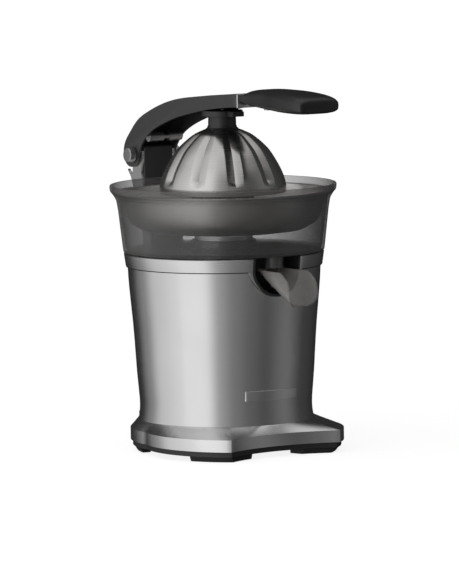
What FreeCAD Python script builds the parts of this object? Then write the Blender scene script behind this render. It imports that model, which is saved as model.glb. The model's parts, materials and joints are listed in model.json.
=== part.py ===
import FreeCAD, Part
import math
import os

V = FreeCAD.Vector
Z_AXIS = V(0, 0, 1)
X_AXIS = V(1, 0, 0)

# Citrus press with a geared motor in a steel body, a clear juice bowl, a
# strainer and a reamer, and a lever arm that brings a dome down on the fruit.
# Millimetres.  +Z up, front (spout and grip) towards -Y, the origin on the
# table under the axis of the body.

# ---- driving dimensions ---------------------------------------------------
foot_height = 5.0            # rubber feet under the tray
tray_thickness = 5.0
centre_pad_radius = 12.0     # round rubber pad under the middle of the tray
base_edge_height = 11.0      # upright edge of the base casting
base_rise = 8.0              # slope from that edge up to the body
base_rear_radius = 88.0
base_corner_x = 59.0         # front corners of the base
base_corner_y = -99.0
base_side_x = 92.0           # widest point of each side arc
base_side_y = -34.0
base_notch_y = -86.0         # middle of the hollow front edge
base_opening_radius = 58.0

body_bottom_radius = 80.5
body_waist_radius = 79.3
body_top_radius = 88.4
body_height = 140.5          # from the base top to the collar
shell_wall = 1.0
collar_height = 12.0
collar_radius = 91.7
collar_step = 1.6

spout_gap_radius = 25.5      # U-shaped gap in the front of the body
spout_gap_drop = 10.0        # its centre, below the collar top
recess_wall = 2.0
recess_depth_y = -56.0

bowl_height = 61.5
bowl_floor_radius = 92.0
bowl_wall_top_radius = 98.0
bowl_rim_radius = 104.0
bowl_rim_height = 8.0
bowl_wall = 2.2
bowl_floor_thickness = 2.5

hub_radius = 26.6
hub_height = 15.0
cone_radius = 36.0
cone_height = 68.0
cone_ribs = 10
dome_radius = 58.0
dome_height = 58.0
dome_wall = 1.2
dome_flutes = 8
neck_radius = 12.7
neck_height = 12.0

arm_width = 41.0
arm_wall = 2.3
pivot_y = 121.0
pivot_pin_radius = 4.5
pin_head_radius = 7.0
pin_head_length = 7.0
grip_length = 103.0
grip_width = 47.0

shaft_radius = 5.0
gear_module = 1.0
pinion_teeth = 12
idler_teeth = 60
idler_pinion_teeth = 14
output_teeth = 58
press_travel = 3.0
motor_radius = 36.0
rotor_radius = 18.3

running_gap = 0.05           # radial, shaft in bush
free_gap = 0.3               # between pieces that only pass each other

# ---- heights worked out from them -----------------------------------------
tray_top = foot_height + tray_thickness
base_edge_top = tray_top + base_edge_height
base_top = base_edge_top + base_rise
collar_bottom = base_top + body_height
collar_top = collar_bottom + collar_height
bowl_bottom = collar_top + 0.5
bowl_top = bowl_bottom + bowl_height
rim_bottom = bowl_top - bowl_rim_height
gap_centre_z = collar_top - spout_gap_drop
hub_top = collar_top + hub_height
deck_thickness = 2.8
deck_bottom = collar_top - deck_thickness

plate_thickness = 3.0
gearbox_bottom = base_top + 67.0
gearbox_floor = 3.0
gear_depth = 8.0
centre_distance = gear_module * (pinion_teeth + idler_teeth) / 2
gearbox_inner = centre_distance - 1.0
gearbox_wall = 2.5
pinion_bottom = gearbox_bottom + gearbox_floor + 1.5
idler_bottom = pinion_bottom + 1.0
output_bottom = pinion_bottom + gear_depth + 3.0
idler_pinion_top = output_bottom + gear_depth + 1.0
gearbox_top = output_bottom + gear_depth + 9.0
cover_thickness = 4.0
output_hub_top = gearbox_top + cover_thickness + 10.0
output_hub_radius = 9.0
disc_bottom = output_hub_top + 8.0
disc_thickness = 3.0
disc_radius = 20.0
strainer_bottom = bowl_bottom + 18.0
cone_bottom = hub_top + 10.0
dome_bottom = bowl_top - 8.0
dome_top = dome_bottom + dome_height
neck_top = dome_top + neck_height
socket_top = neck_top + 5.3
pivot_z = dome_top - 29.5
arm_half = arm_width / 2
arm_inner = arm_half - arm_wall


# ---- small helpers --------------------------------------------------------
def rod(radius, low, high, x=0.0, y=0.0):
    """Upright cylinder."""
    return Part.makeCylinder(radius, high - low, V(x, y, low), Z_AXIS)


def tube(outer, inner, low, high, x=0.0, y=0.0):
    return rod(outer, low, high, x, y).cut(rod(inner, low - 1, high + 1, x, y))


def cross_rod(radius, left, right, y, z):
    """Cylinder lying along X."""
    return Part.makeCylinder(radius, right - left, V(left, y, z), X_AXIS)


def block(x0, x1, y0, y1, z0, z1):
    return Part.makeBox(x1 - x0, y1 - y0, z1 - z0, V(x0, y0, z0))


def turned(points):
    """Solid of revolution about Z of a closed (radius, height) outline."""
    corners = [V(r, 0, z) for r, z in points]
    face = Part.Face(Part.makePolygon(corners + corners[:1]))
    return face.revolve(V(0, 0, 0), Z_AXIS, 360)


def slab(points, x0, x1):
    """Closed (y, z) outline, thick along X."""
    corners = [V(x0, y, z) for y, z in points]
    face = Part.Face(Part.makePolygon(corners + corners[:1]))
    return face.extrude(V(x1 - x0, 0, 0))


def joined(shapes):
    whole = shapes[0]
    for shape in shapes[1:]:
        whole = whole.fuse(shape)
    return whole.removeSplitter()


def around(shape, count, start=0.0):
    """Copies of a shape spaced evenly about the Z axis."""
    copies = []
    for index in range(count):
        copy = shape.copy()
        copy.rotate(V(0, 0, 0), Z_AXIS, start + 360.0 * index / count)
        copies.append(copy)
    return copies


def spring(radius, wire, pitch, turns, place, axis):
    """Round-wire coil along an axis."""
    path = Part.makeHelix(pitch, pitch * turns, radius)
    circle = Part.Wire(Part.makeCircle(wire, V(radius, 0, 0), V(0, 1, pitch / (2 * math.pi * radius))))
    coil = Part.Wire(path.Edges).makePipeShell([circle], True, False)
    coil.Placement = FreeCAD.Placement(place, FreeCAD.Rotation(Z_AXIS, axis))
    return coil


def screw(head_radius, head_height, shank_radius, length, place, axis):
    """Round-headed screw whose head starts at place and shank runs along axis."""
    head = Part.makeCylinder(head_radius, head_height, place, axis)
    shank = Part.makeCylinder(shank_radius, length, place + axis * head_height, axis)
    slot = Part.makeCylinder(shank_radius * 0.6, head_height * 0.5, place, axis)
    return joined([head, shank]).cut(slot)


def save(name, *shapes):
    """Write one node; several shapes stay separate solids of it."""
    whole = shapes[0] if len(shapes) == 1 else Part.makeCompound(list(shapes))
    whole.exportStep("parts/" + name + ".step")


# ---- base -----------------------------------------------------------------
def base_outline(inset, z):
    """Plan of the base: round at the back, two front corners, hollow front edge."""
    corner = V(base_corner_x - inset, base_corner_y + inset, z)
    side = V(base_side_x - inset, base_side_y, z)
    back = V(base_rear_radius - inset, 0, z)
    rear = V(0, base_rear_radius - inset, z)
    notch = V(0, base_notch_y + inset, z)

    def left(point):
        return V(-point.x, point.y, point.z)

    edges = [
        Part.Arc(corner, side, back).toShape(),
        Part.Arc(back, rear, left(back)).toShape(),
        Part.Arc(left(back), left(side), left(corner)).toShape(),
        Part.Arc(left(corner), notch, corner).toShape(),
    ]
    return Part.Wire(edges)


def round_outline(radius, z):
    """Circle split at the same bearings as the base plan."""
    corner_angle = math.atan2(base_corner_y, base_corner_x)
    corner = V(radius * math.cos(corner_angle), radius * math.sin(corner_angle), z)
    side_angle = corner_angle / 2
    side = V(radius * math.cos(side_angle), radius * math.sin(side_angle), z)
    edges = [
        Part.Arc(corner, side, V(radius, 0, z)).toShape(),
        Part.Arc(V(radius, 0, z), V(0, radius, z), V(-radius, 0, z)).toShape(),
        Part.Arc(V(-radius, 0, z), V(-side.x, side.y, z), V(-corner.x, corner.y, z)).toShape(),
        Part.Arc(V(-corner.x, corner.y, z), V(0, -radius, z), corner).toShape(),
    ]
    return Part.Wire(edges)


def prism(wire, height):
    return Part.Face(wire).extrude(V(0, 0, height))


column_half = 18.5
column_back = pivot_y - 9.0
column_foot_half = column_half + 3.5
column_foot_back = column_back + 3.5
tray_screw_places = [(64, -66), (-64, -66), (56, 44), (-56, 44)]
tray_screw_shank = 1.7
post_radius = 4.0
post_ring = 70.0
post_places = [(post_ring * math.cos(math.radians(a)), post_ring * math.sin(math.radians(a)))
               for a in (20, 160, 215, 325)]
inlet_z = tray_top + base_edge_height / 2
inlet_radius = 4.0


def base_casting():
    """Heavy ring casting: upright edge, slope up to the body, seat for the shell, opening for the fan."""
    seat_outer = body_waist_radius - shell_wall - 0.2
    seat_inner = body_waist_radius - shell_wall - 3.0
    lower = prism(base_outline(0, tray_top), base_edge_height)
    slope = Part.makeLoft([base_outline(0, base_edge_top),
                           round_outline(body_bottom_radius + 0.5, base_top)], True, True)
    bump = block(-column_foot_half, column_foot_half, 60, column_foot_back, tray_top, base_edge_top)
    seat = rod(seat_outer, base_top - 1, base_top + 6)
    casting = joined([lower, slope, bump, seat])
    casting = casting.cut(rod(base_opening_radius, tray_top - 1, base_top + 10))
    casting = casting.cut(rod(seat_inner, base_top - 3, base_top + 10))
    casting = casting.cut(Part.makeCylinder(inlet_radius, 80, V(0, 50, inlet_z), V(0, 1, 0)))
    for x, y in tray_screw_places:
        casting = casting.cut(rod(tray_screw_shank, tray_top - 1, tray_top + 9, x, y))
    return casting


def bottom_tray():
    tray = prism(base_outline(2.0, foot_height), tray_thickness)
    tray = tray.cut(rod(base_opening_radius - 3, foot_height + 2.5, tray_top + 1))
    for slot in around(block(18, 46, -1.6, 1.6, foot_height - 1, tray_top), 12):
        tray = tray.cut(slot)
    for x, y in tray_screw_places:
        tray = tray.cut(rod(tray_screw_shank, foot_height - 1, tray_top + 1, x, y))
        tray = tray.cut(rod(3.3, foot_height - 1, foot_height + 2, x, y))
    return tray


def foot(angle_from, angle_to):
    """Drafted block along the edge of the tray between two bearings."""
    wedge_points = [V(0, 0, 0)]
    for angle in (angle_from, (angle_from + angle_to) / 2, angle_to):
        wedge_points.append(V(150 * math.cos(math.radians(angle)), 150 * math.sin(math.radians(angle)), 0))
    wedge = Part.Face(Part.makePolygon(wedge_points + wedge_points[:1])).extrude(V(0, 0, foot_height))
    outer = Part.makeLoft([base_outline(6.0, 0), base_outline(3.0, foot_height)], True, True)
    return outer.common(wedge).cut(rod(base_opening_radius + 16, -1, foot_height + 1))


# ---- body -----------------------------------------------------------------
def gap_prism(radius, front=-140.0, back=-40.0, top=20.0):
    """The U-shaped gap, long enough to pass right through the front wall."""
    arch = Part.makeCylinder(radius, back - front, V(0, front, gap_centre_z), V(0, 1, 0))
    return arch.fuse(block(-radius, radius, front, back, gap_centre_z, collar_top + top))


def body_solid(offset, extra=0.0):
    """The body filled in: a slightly waisted taper, offset inwards, carried up by extra at the top."""
    share = [(0.0, 0.13), (0.05, 0.0), (0.22, 0.11), (0.42, 0.33), (0.63, 0.55), (0.84, 0.85), (1.0, 1.0)]
    swell = body_top_radius - body_waist_radius
    flare = body_bottom_radius - body_waist_radius
    points = []
    for height_share, radius_share in share:
        radius = body_waist_radius + (flare if height_share == 0.0 else swell * radius_share)
        points.append(V(radius - offset, 0, base_top + body_height * height_share))
    curve = Part.BSplineCurve()
    curve.interpolate(points)
    edge_top = V(body_top_radius - offset, 0, collar_bottom + extra)
    corners = [points[-1], edge_top, V(0, 0, edge_top.z), V(0, 0, base_top), points[0]]
    if extra == 0.0:
        corners.pop(1)
    outline = Part.Wire([curve.toShape()] + Part.makePolygon(corners).Edges)
    return Part.Face(outline).revolve(V(0, 0, 0), Z_AXIS, 360)


shell_tuck = 7.0             # how far the shell runs up inside the collar


def body_shell():
    return body_solid(0, shell_tuck).cut(body_solid(shell_wall, shell_tuck)).cut(gap_prism(spout_gap_radius))


def top_collar():
    """Ring over the body's top, with a trim that runs down both sides of the gap."""
    lip = body_top_radius - 0.4
    ring = turned([(lip, collar_bottom), (collar_radius - collar_step, collar_bottom),
                   (collar_radius, collar_top - 0.8), (collar_radius - 0.8, collar_top), (lip, collar_top)])
    trim_width = 4.5
    arch = Part.makeCylinder(spout_gap_radius + trim_width, 60, V(0, -120, gap_centre_z + trim_width + 1.0),
                             V(0, 1, 0))
    band = tube(collar_radius - collar_step - 0.3, body_top_radius - 8, collar_bottom - 30, collar_bottom + 0.5)
    whole = joined([ring, band.common(arch)])
    return whole.cut(body_solid(-0.1, shell_tuck + 1)).cut(gap_prism(spout_gap_radius))


def bowl_deck():
    """Plate under the bowl with the boss that holds the shaft's upper bush."""
    edge = body_top_radius - shell_wall - 0.1
    plate = rod(edge, deck_bottom, collar_top)
    skirt = tube(edge, edge - 2.5, collar_bottom + 1, collar_top)
    boss = rod(15.0, collar_top - 21.5, collar_top)
    tower = rod(hub_radius - 0.6, deck_bottom, hub_top - 1.0)
    deck = joined([plate, skirt, boss, tower])
    deck = deck.cut(rod(9.0, collar_top - 30, hub_top - 10))
    deck = deck.cut(rod(12.0, hub_top - 10, hub_top))
    return deck.cut(gap_prism(spout_gap_radius))


def hub_cap():
    cap = rod(hub_radius, collar_top, hub_top).cut(rod(hub_radius - 0.5, collar_top - 1, hub_top - 0.6))
    return cap.cut(rod(shaft_radius + 1, collar_top, hub_top + 1))


def spout_recess():
    """Black bucket behind the gap that the spout hangs in."""
    outside = gap_prism(spout_gap_radius - 0.2, -93, recess_depth_y, 0.0)
    inside = gap_prism(spout_gap_radius - 0.2 - recess_wall, -140, recess_depth_y - recess_wall, 5.0)
    skin = turned([(0, base_top), (body_top_radius - 0.4, base_top), (collar_radius - collar_step, collar_bottom),
                   (collar_radius - 0.4, collar_top), (0, collar_top)])
    return outside.cut(inside).common(skin)


def name_badge():
    """Blank raised bar on the lower front."""
    z_low = base_top + 22.5
    ring = tube(body_waist_radius + 1.9, body_waist_radius - 4, z_low, z_low + 9)
    bar = ring.common(block(-28, 28, -100, 0, z_low, z_low + 9))
    return bar.cut(body_solid(-0.05))


# ---- rear column and hinge ------------------------------------------------
bracket_gap = 0.3
bracket_thickness = 2.5
bracket_outer = arm_inner - bracket_gap
bracket_inner = bracket_outer - bracket_thickness
tower_half = bracket_inner - 0.2
bracket_low = collar_bottom - 25
column_top = collar_bottom + 6


def rear_column():
    """Upright that stands on the base behind the body and carries the hinge."""
    front = body_waist_radius - 2.8
    column = block(-column_half, column_half, front, column_back, base_top - 6, column_top)
    solid_body = body_solid(-free_gap).fuse(rod(collar_radius + 0.4, collar_bottom - free_gap, bowl_top))
    foot_flange = block(-column_foot_half, column_foot_half, front, column_foot_back, base_top - 8, base_top - 4)
    column = joined([column, foot_flange]).cut(solid_body)
    column = column.cut(block(-bracket_outer - 0.1, bracket_outer + 0.1, 60, column_back - 2.0,
                              bracket_low - 0.2, column_top + 1))
    return column.cut(base_casting())


def bracket_outline():
    """Side plate: round eye, neck in front of the swept arc, shoulder and stem."""
    front = [(pivot_y - 24.5, bracket_low), (pivot_y - 24.5, column_top + 6.5), (pivot_y - 11.5, pivot_z - 24),
             (pivot_y - 8.5, pivot_z - 16)]
    eye = []
    for angle in range(200, -61, -20):
        eye.append((pivot_y + 11.5 * math.cos(math.radians(angle)),
                    pivot_z + 11.5 * math.sin(math.radians(angle))))
    arc = []
    for angle in (-72, -62, -52, -45):
        arc.append((pivot_y + 19.6 * math.cos(math.radians(angle)),
                    pivot_z + 19.6 * math.sin(math.radians(angle))))
    rear = [(pivot_y + 14.5, pivot_z - 14.5), (pivot_y + 9.5, pivot_z - 20.5), (pivot_y + 6.5, pivot_z - 27),
            (pivot_y - 9.5, column_top + 15.5),
            (column_back - 2.2, column_top + 6.5), (column_back - 2.2, bracket_low)]
    return front + eye + arc + rear


def pivot_tower():
    """Hollow cover between the two side plates."""
    outline = [(pivot_y - 24, column_top - 8), (pivot_y - 24, column_top + 6.5), (pivot_y - 11.2, pivot_z - 24),
               (pivot_y - 11.2, pivot_z + 7),
               (pivot_y - 10, pivot_z + 8.5), (pivot_y + 9, pivot_z + 8.5), (pivot_y + 9.5, pivot_z - 4),
               (pivot_y + 5.5, pivot_z - 11.8), (pivot_y + 5.5, pivot_z - 27), (pivot_y - 10.5, column_top + 15.5),
               (column_back - 2.4, column_top + 6.5), (column_back - 2.4, column_top - 8)]
    cover = slab(outline, -tower_half, tower_half)
    hollow = slab([(pivot_y - 8, pivot_z - 21), (pivot_y - 8, pivot_z + 6), (pivot_y + 7.5, pivot_z + 6),
                   (pivot_y + 7.5, pivot_z - 4), (pivot_y + 3.0, pivot_z - 11), (pivot_y + 3.0, pivot_z - 21)],
                  -tower_half + 2, tower_half - 2)
    return cover.cut(hollow).cut(cross_rod(pivot_pin_radius, -30, 30, pivot_y, pivot_z))


def hinge_bracket(side):
    plate = slab(bracket_outline(), bracket_inner, bracket_outer)
    if side < 0:
        plate = plate.mirror(V(0, 0, 0), X_AXIS)
    plate = plate.cut(cross_rod(pivot_pin_radius, -30, 30, pivot_y, pivot_z))
    for z in bolt_heights:
        plate = plate.cut(cross_rod(bolt_radius, -30, 30, pivot_y - 17, z))
    return plate


bolt_radius = 2.0
bolt_heights = (bracket_low + 10, column_top - 14)


def bracket_bolts():
    """Two bolts across the column that clamp both side plates."""
    bolts = []
    for z in bolt_heights:
        bolts.append(cross_rod(bolt_radius, -bracket_outer, bracket_outer, pivot_y - 17, z))
    return bolts


def hinge_pin():
    head_start = arm_half + free_gap
    shank = cross_rod(pivot_pin_radius, -head_start, head_start, pivot_y, pivot_z)
    heads = []
    for left in (-head_start - pin_head_length, head_start):
        head = cross_rod(pin_head_radius, left, left + pin_head_length, pivot_y, pivot_z)
        heads.append(head.makeFillet(1.2, [edge for edge in head.Edges if abs(edge.BoundBox.XLength) < 0.01]))
    return joined([shank] + heads)


coil_wire = 1.1
coil_turns = 6


def hinge_springs():
    """Two close-wound balance coils round the pin inside the tower, drawn as stacked turns."""
    inner = pivot_pin_radius + running_gap
    points = [(inner, 0)]
    for turn in range(coil_turns):
        low = turn * coil_wire
        points += [(inner + 0.75 * coil_wire, low), (inner + coil_wire, low + 0.25 * coil_wire),
                   (inner + coil_wire, low + 0.75 * coil_wire)]
    length = coil_turns * coil_wire
    points += [(inner + 0.75 * coil_wire, length), (inner, length)]
    coils = []
    for start in (-tower_half + 3.0, tower_half - 3.0 - length):
        coil = turned(points)
        coil.Placement = FreeCAD.Placement(V(start, pivot_y, pivot_z), FreeCAD.Rotation(Z_AXIS, X_AXIS))
        coils.append(coil)
    return coils


def cord_inlet():
    """Rubber grommet through the rear of the base; the hole takes the cord."""
    length = column_foot_back - base_opening_radius + 2
    sleeve = Part.makeCylinder(inlet_radius, length, V(0, base_opening_radius - 2, inlet_z), V(0, 1, 0))
    flange = Part.makeCylinder(inlet_radius + 1.8, 1.6, V(0, column_foot_back, inlet_z), V(0, 1, 0))
    bore = Part.makeCylinder(inlet_radius - 1.3, length + 10, V(0, base_opening_radius - 5, inlet_z), V(0, 1, 0))
    return joined([sleeve, flange]).cut(bore)


# ---- motor and gears ------------------------------------------------------
stator_low = base_top + 12
stator_high = stator_low + 34
bolt_ring = motor_radius - 5
motor_shaft_radius = 3.0


def gear(teeth, low, high, tooth_at, x=0.0, y=0.0):
    """Involute spur gear blank with one tooth centred on the bearing tooth_at."""
    pressure = math.radians(25)
    backlash = 0.16
    pitch = gear_module * teeth / 2
    base = pitch * math.cos(pressure)
    tip = pitch + 0.8 * gear_module
    root = pitch - 1.1 * gear_module
    half = math.pi / (2 * teeth) - backlash / (4 * pitch)

    def involute(angle):
        return math.tan(angle) - angle

    flank = []
    steps = 4
    start = max(base, root)
    for step in range(steps + 1):
        radius = start + (tip - start) * step / steps
        flank.append((radius, half + involute(pressure) - involute(math.acos(base / radius))))
    if root < base:
        flank.insert(0, (root, flank[0][1]))
    points = []
    for tooth in range(teeth):
        centre = math.radians(tooth_at) + 2 * math.pi * tooth / teeth
        side = [(r, centre - a) for r, a in flank] + [(r, centre + a) for r, a in flank[::-1]]
        points += [V(x + r * math.cos(a), y + r * math.sin(a), low) for r, a in side]
    return Part.Face(Part.makePolygon(points + points[:1])).extrude(V(0, 0, high - low))


def chassis_plate():
    """Steel plate that carries the gearbox above and the motor below."""
    plate = rod(post_ring + 6, gearbox_bottom - plate_thickness, gearbox_bottom)
    plate = plate.cut(rod(8, 0, 300))
    for x, y in post_places:
        plate = plate.cut(rod(1.9, 0, 300, x, y))
    for bolt in around(rod(1.6, 0, 300, bolt_ring, 0), 4, 45):
        plate = plate.cut(bolt)
    for vent in around(block(46, 60, -6, 6, 0, 300), 6, 45):
        plate = plate.cut(vent)
    for x, y in box_screw_places:
        plate = plate.cut(rod(1.6, 0, 300, x, y))
    return plate


def chassis_posts():
    posts = []
    for x, y in post_places:
        posts.append(rod(post_radius, base_top - 3, gearbox_bottom - plate_thickness, x, y)
                     .cut(rod(1.9, gearbox_bottom - plate_thickness - 8, gearbox_bottom, x, y)))
    return posts


def post_screws():
    screws = []
    for x, y in post_places:
        screws.append(screw(3.4, 2.2, 1.9, plate_thickness + 7, V(x, y, gearbox_bottom + 2.2), V(0, 0, -1)))
    return screws


def motor_stator():
    """Laminated ring with four bolt holes and eight slots for the windings."""
    core = tube(motor_radius, rotor_radius + 0.5, stator_low, stator_high)
    for slot in around(block(rotor_radius + 2, motor_radius - 8, -2.2, 2.2, 0, 300), 8, 22.5):
        core = core.cut(slot)
    for hole in around(rod(1.6, 0, 300, bolt_ring, 0), 4, 45):
        core = core.cut(hole)
    return core


def stator_windings():
    """Copper in the slots, joined by a ring above and below."""
    inner = rotor_radius + 2.5
    outer = motor_radius - 8.5
    wire = [tube(outer, inner, stator_low - 8, stator_low), tube(outer, inner, stator_high, stator_high + 8)]
    wire += around(block(inner, outer, -1.9, 1.9, stator_low - 1, stator_high + 1), 8, 22.5)
    return joined(wire)


def motor_bracket(low, inward):
    """End bracket: spider with a bush seat, spaced from the core by its rim."""
    depth = 14.0
    web = 3.0
    if inward > 0:
        disc = rod(motor_radius, low, low + web)
        rim = tube(motor_radius, motor_radius - 7, low, low + depth)
    else:
        disc = rod(motor_radius, low + depth - web, low + depth)
        rim = tube(motor_radius, motor_radius - 7, low, low + depth)
    frame = joined([disc, rim]).cut(rod(7.0, 0, 300))
    for vent in around(block(11, 26, -4, 4, 0, 300), 4, 0):
        frame = frame.cut(vent)
    for hole in around(rod(1.6, 0, 300, bolt_ring, 0), 4, 45):
        frame = frame.cut(hole)
    return frame


lower_bracket_low = stator_low - 14
upper_bracket_low = stator_high


def motor_bushes():
    outer = 7.0
    bore = motor_shaft_radius + running_gap
    lower = tube(outer, bore, lower_bracket_low, lower_bracket_low + 6)
    upper = tube(outer, bore, upper_bracket_low + 8, upper_bracket_low + 14)
    return [lower, upper]


def motor_bolts():
    """Long bolts from the lower bracket up into the chassis plate."""
    length = gearbox_bottom - lower_bracket_low
    one = screw(3.2, 2.0, 1.6, length, V(bolt_ring, 0, lower_bracket_low - 2), Z_AXIS)
    return around(one, 4, 45)


def cooling_fan():
    low = tray_top + 2
    hub = tube(8, motor_shaft_radius, low, low + 9)
    blades = []
    for angle in range(0, 360, 45):
        blade = block(6, 40, -0.8, 0.8, low + 1, low + 9)
        blade.rotate(V(23, 0, low + 5), X_AXIS, 35)
        blade.rotate(V(0, 0, 0), Z_AXIS, angle)
        blades.append(blade)
    return joined([hub] + blades).cut(rod(motor_shaft_radius, 0, 300))


def stadium(radius, low, high):
    """Plan of the gearbox: a round end about each shaft."""
    y = centre_distance
    middle = block(-radius, radius, 0, y, low, high)
    return joined([rod(radius, low, high), rod(radius, low, high, 0, y), middle])


box_screw_places = [(gearbox_inner + 6, 6), (-gearbox_inner - 6, 6),
                    (gearbox_inner + 6, centre_distance - 12), (-gearbox_inner - 6, centre_distance - 12)]


def box_ears(low, high):
    ears = []
    for x, y in box_screw_places:
        inner_x = math.copysign(gearbox_inner + 1, x)
        ears.append(rod(4.5, low, high, x, y))
        ears.append(block(min(x, inner_x), max(x, inner_x), y - 4.5, y + 4.5, low, high))
    return ears


def gearbox_housing():
    outer = joined([stadium(gearbox_inner + gearbox_wall, gearbox_bottom, gearbox_top)]
                   + box_ears(gearbox_bottom, gearbox_top))
    box = outer.cut(stadium(gearbox_inner, gearbox_bottom + gearbox_floor, gearbox_top + 1))
    box = box.cut(rod(motor_shaft_radius + 1, 0, 300))
    box = box.cut(rod(idler_pin_radius, gearbox_bottom + 0.5, 300, 0, centre_distance))
    for x, y in box_screw_places:
        box = box.cut(rod(1.6, 0, 300, x, y))
    return box


def gearbox_cover():
    boss = rod(output_hub_radius + 4.5, gearbox_top - 4, output_hub_top - 1)
    plate = joined([stadium(gearbox_inner + gearbox_wall, gearbox_top, gearbox_top + cover_thickness), boss]
                   + box_ears(gearbox_top, gearbox_top + cover_thickness))
    plate = plate.cut(rod(output_hub_radius + 2.5, 0, 300))
    plate = plate.cut(rod(idler_pin_radius, 0, gearbox_top + 3, 0, centre_distance))
    for x, y in box_screw_places:
        plate = plate.cut(rod(1.6, 0, 300, x, y))
    return plate


def box_screws():
    length = gearbox_top + cover_thickness - gearbox_bottom + plate_thickness
    screws = []
    for x, y in box_screw_places:
        screws.append(screw(3.2, 2.2, 1.6, length, V(x, y, gearbox_top + cover_thickness + 2.2), V(0, 0, -1)))
    return screws


idler_pin_radius = 3.0


def idler_gear():
    """Large wheel driven by the motor and small pinion that drives the output."""
    y = centre_distance
    large = gear(idler_teeth, idler_bottom, idler_bottom + gear_depth, -90 + 180 / idler_teeth, 0, y)
    small = gear(idler_pinion_teeth, idler_bottom + gear_depth, idler_pinion_top, -90, 0, y)
    return joined([large, small]).cut(rod(idler_pin_radius + running_gap, 0, 300, 0, y))


def shaft_hexagon(across, low, high):
    radius = across / math.sqrt(3)
    corners = [V(radius * math.cos(math.radians(a)), radius * math.sin(math.radians(a)), low)
               for a in range(0, 361, 60)]
    return Part.Face(Part.makePolygon(corners)).extrude(V(0, 0, high - low))


shaft_flats = 8.6
shaft_low = output_bottom + 1.5 + press_travel
shaft_high = cone_bottom + 16


def output_gear():
    """Output wheel with the long hollow hub that the drive shaft slides in."""
    wheel = gear(output_teeth, output_bottom, output_bottom + gear_depth, 90 + 180 / output_teeth)
    hub = rod(output_hub_radius, output_bottom, output_hub_top)
    bore = shaft_hexagon(shaft_flats + 2 * running_gap, output_bottom + 0.9, output_hub_top + 1)
    return joined([wheel, hub]).cut(bore)


def drive_shaft():
    """Hexagon below, to slide in the output hub; round above; flats for the reamer."""
    lower = shaft_hexagon(shaft_flats, shaft_low, disc_bottom)
    middle = rod(shaft_radius, disc_bottom, cone_bottom + 1)
    upper = shaft_hexagon(shaft_flats, cone_bottom + 1, shaft_high)
    return joined([lower, middle, upper])


def press_disc():
    return tube(disc_radius, shaft_radius, disc_bottom, disc_bottom + disc_thickness)


def micro_switch():
    low = gearbox_top + cover_thickness
    case = block(13.7, 33.7, -3.2, 3.2, low, low + 12)
    case = case.cut(rod(1.55, low + 4.5, low + 13, 17, 0))
    legs = [block(20 + 5 * i, 21 + 5 * i, 3.2, 8, low + 3, low + 6) for i in range(3)]
    return joined([case] + legs)


def switch_plunger():
    return rod(1.5, disc_bottom - 9, disc_bottom - free_gap, 17, 0)


def return_spring():
    turns = 3.0
    clear = 0.2
    wire = 0.7
    height = disc_bottom - output_hub_top - 2 * wire - 2 * clear
    return spring(7.2, wire, height / turns, turns, V(0, 0, output_hub_top + wire + clear), Z_AXIS)


# ---- juice side -----------------------------------------------------------
spigot_radius = 8.0
spigot_wall = 1.6
spigot_y = -82.5
spout_pivot_y = -67.0
spout_pivot_z = bowl_bottom - 14.0
spout_half = 16.0
spout_wall = 1.8
ear_inner = spout_half + free_gap


def juice_bowl():
    """Clear bowl: straight wall, flared rim, raised collar round the hub, outlet below."""
    floor = bowl_bottom + bowl_floor_thickness
    shoulder = rim_bottom
    outside = [(hub_radius + 0.8, bowl_bottom), (bowl_floor_radius, bowl_bottom),
               (bowl_floor_radius + 0.4, bowl_bottom + 3), (bowl_wall_top_radius - 1.6, shoulder - 15),
               (bowl_wall_top_radius, shoulder - 5.5), (bowl_wall_top_radius + 3.4, shoulder),
               (bowl_rim_radius - 0.4, shoulder + 2.2), (bowl_rim_radius, bowl_top - 0.8),
               (bowl_rim_radius - 0.8, bowl_top)]
    inside = [(bowl_rim_radius - bowl_wall, bowl_top), (bowl_rim_radius - bowl_wall, shoulder + 0.4),
              (bowl_wall_top_radius + 1.6, shoulder), (bowl_wall_top_radius - bowl_wall, shoulder - 4.5),
              (bowl_floor_radius - bowl_wall, floor), (hub_radius + 3, floor),
              (hub_radius + 3, floor + 8), (hub_radius + 0.8, floor + 8)]
    bowl = turned(outside + inside)
    outlet = rod(spigot_radius, bowl_bottom - 10.0, bowl_bottom + 1, 0, spigot_y)
    ears = []
    for side in (-1, 1):
        near = side * ear_inner
        far = side * (ear_inner + 2.5)
        ears.append(block(min(near, far), max(near, far), spout_pivot_y - 4, spout_pivot_y + 4,
                          spout_pivot_z - 4, bowl_bottom + 1))
    bowl = joined([bowl, outlet] + ears)
    bowl = bowl.cut(rod(spigot_radius - spigot_wall, bowl_bottom - 20, floor + 1, 0, spigot_y))
    return bowl.cut(cross_rod(2.0, -30, 30, spout_pivot_y, spout_pivot_z))


def spout_floor_z(y):
    """Underside of the sloping spout."""
    slope = math.tan(math.radians(26.6))
    return spout_pivot_z - 1.5 + (y - spout_pivot_y) * slope


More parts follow.
